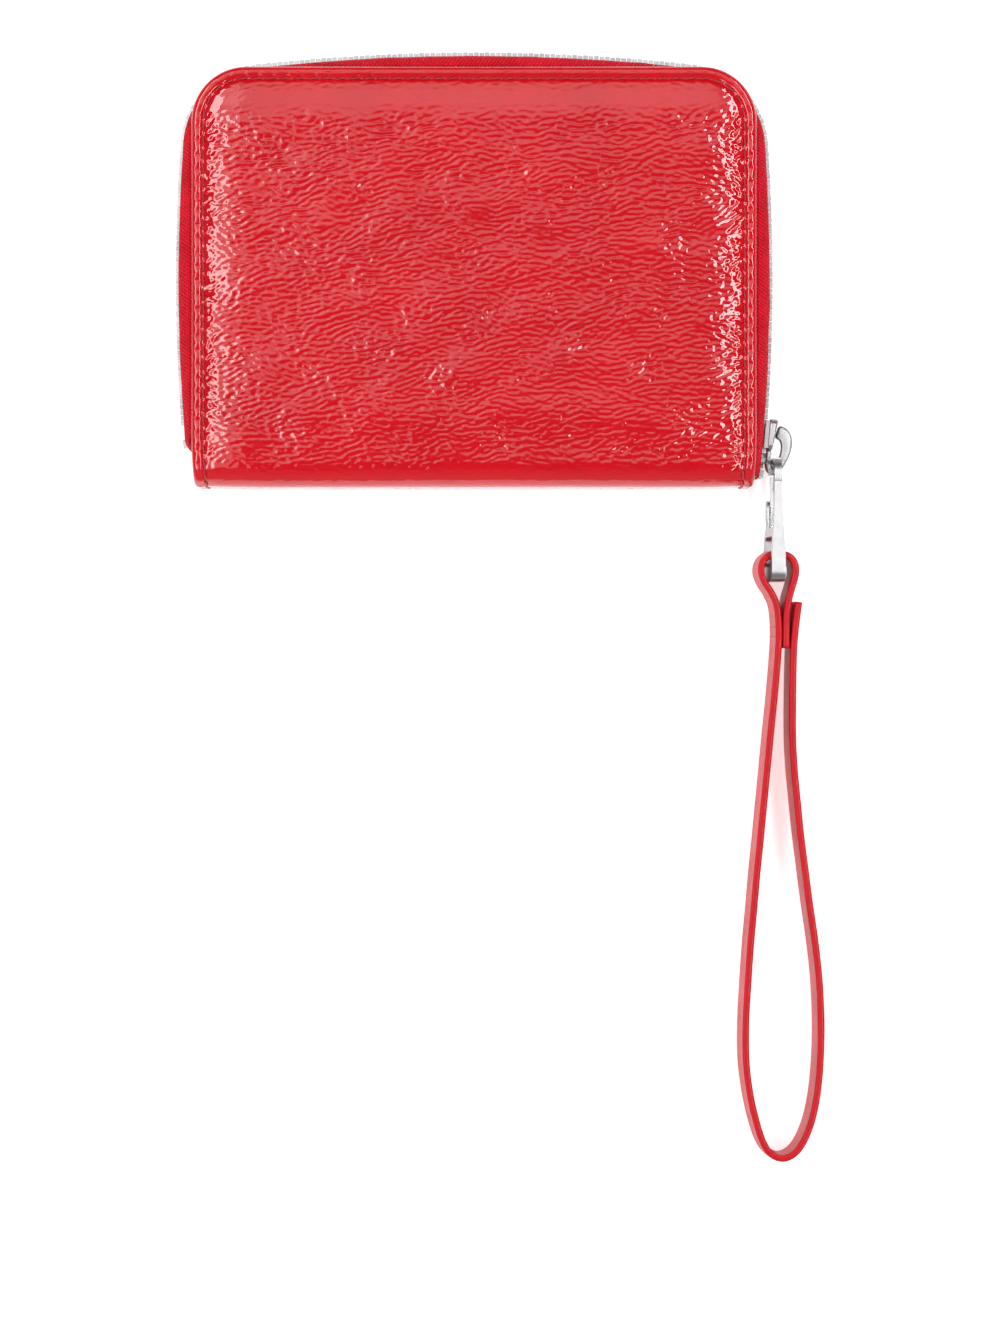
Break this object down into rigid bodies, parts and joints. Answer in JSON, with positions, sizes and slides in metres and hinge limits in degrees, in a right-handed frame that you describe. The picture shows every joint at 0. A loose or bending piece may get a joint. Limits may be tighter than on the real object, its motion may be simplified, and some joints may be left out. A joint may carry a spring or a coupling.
{
  "type": "zip around wallet",
  "caption": "Zip-around wallet in crinkled red patent leather, with card slots, a zipped coin pocket, and a wrist strap on a snap clasp at the zip slider.",
  "frame": {"origin": "middle of the back cover's outer face, between the two sides and between the spine and the zipped long edge", "axes": "+Z out of the front cover; +X to the right and +Y to the zipped long edge with the front cover facing the viewer; the spine is at -Y"},
  "size_m": [0.1309, 0.224, 0.02],
  "materials": {
    "patent_leather": "crinkled patent leather under a clear gloss coat, bright red",
    "strap_leather": "crinkled patent leather strap, bright red",
    "inner_leather": "smooth grained leather, red",
    "lining": "woven twill lining, deep red",
    "board": "grey-brown stiffener board, matt",
    "zip_tape": "herringbone woven zip tape, red",
    "zip_metal": "plated silver zip teeth",
    "thread": "twisted polyester thread, dark red",
    "polished_metal": "polished silver-plated cast metal"
  },
  "bodies": {
    "back_half": {"back_leather": "patent_leather", "back_board": "board", "back_lining": "lining", "back_stitching": "thread", "back_zip_tape": "zip_tape", "back_zip_teeth": "zip_metal", "zip_bottom_stop": "zip_metal", "back_top_stop": "zip_metal", "coin_gusset": "lining", "coin_panel": "inner_leather", "coin_flap": "inner_leather", "coin_tape_lower": "zip_tape", "coin_tape_upper": "zip_tape", "coin_teeth_lower": "zip_metal", "coin_teeth_upper": "zip_metal", "coin_zip_stops": "zip_metal", "coin_stitching": "thread"},
    "spine": {"spine_leather": "patent_leather", "spine_lining": "lining"},
    "front_half": {"front_leather": "patent_leather", "front_board": "board", "front_lining": "lining", "front_stitching": "thread", "front_zip_tape": "zip_tape", "front_zip_teeth": "zip_metal", "front_top_stop": "zip_metal", "bill_panel": "lining", "card_slot_1": "inner_leather", "card_slot_2": "inner_leather", "card_slot_3": "inner_leather", "card_slot_4": "inner_leather", "card_stitching": "thread"},
    "slider": {"zip_slider": "polished_metal"},
    "clasp": {"clasp_hook": "polished_metal", "clasp_pin": "polished_metal", "clasp_rivet": "polished_metal", "clasp_spring": "polished_metal"},
    "gate": {"clasp_gate": "polished_metal"},
    "strap": {"wrist_strap": "strap_leather", "strap_stitching": "thread"},
    "coin_slide": {"coin_slider": "polished_metal"},
    "coin_tab": {"coin_pull": "polished_metal"}
  },
  "joints": [
    {"name": "spine_fold", "type": "hinge", "parent": "back_half", "child": "spine", "pos_m": [0, -0.04103, 0.00107], "axis": [1, 0, 0], "range_deg": [0, 75]},
    {"name": "cover_fold", "type": "hinge", "parent": "spine", "child": "front_half", "pos_m": [0, -0.04103, 0.01893], "axis": [1, 0, 0], "range_deg": [0, 75]},
    {"name": "slider_travel", "type": "hinge", "parent": "back_half", "child": "slider", "pos_m": [-0.3409, 0, 0.01], "axis": [0, 0, 1], "range_deg": [0, 8], "deforming": ["back_zip_teeth", "front_zip_teeth"]},
    {"name": "clasp_swing", "type": "hinge", "parent": "slider", "child": "clasp", "pos_m": [0.06089, -0.03667, 0.01], "axis": [0, 0, 1], "range_deg": [-15, 70]},
    {"name": "gate_open", "type": "hinge", "parent": "clasp", "child": "gate", "pos_m": [0.06041, -0.04587, 0.00312], "axis": [0.9976, 0, -0.0698], "range_deg": [0, 20], "stiffness_Nm_per_rad": 0.01, "springref_deg": -5.73},
    {"name": "strap_swing", "type": "hinge", "parent": "clasp", "child": "strap", "pos_m": [0.06074, -0.05937, 0.00781], "axis": [0, 0, 1], "range_deg": [-25, 25], "deforming": ["wrist_strap", "strap_stitching"]},
    {"name": "coin_zip_travel", "type": "slide", "parent": "back_half", "child": "coin_slide", "axis": [1, 0, 0], "range_m": [0, 0.078], "deforming": ["coin_teeth_lower", "coin_teeth_upper"]},
    {"name": "coin_pull_flip", "type": "hinge", "parent": "coin_slide", "child": "coin_tab", "pos_m": [-0.0418, 0.023, 0.00895], "axis": [0, 1, 0], "range_deg": [-13, 0]}
  ],
  "couplings": [
    {"joint": "cover_fold", "follows": "spine_fold", "ratio": 1}
  ]
}
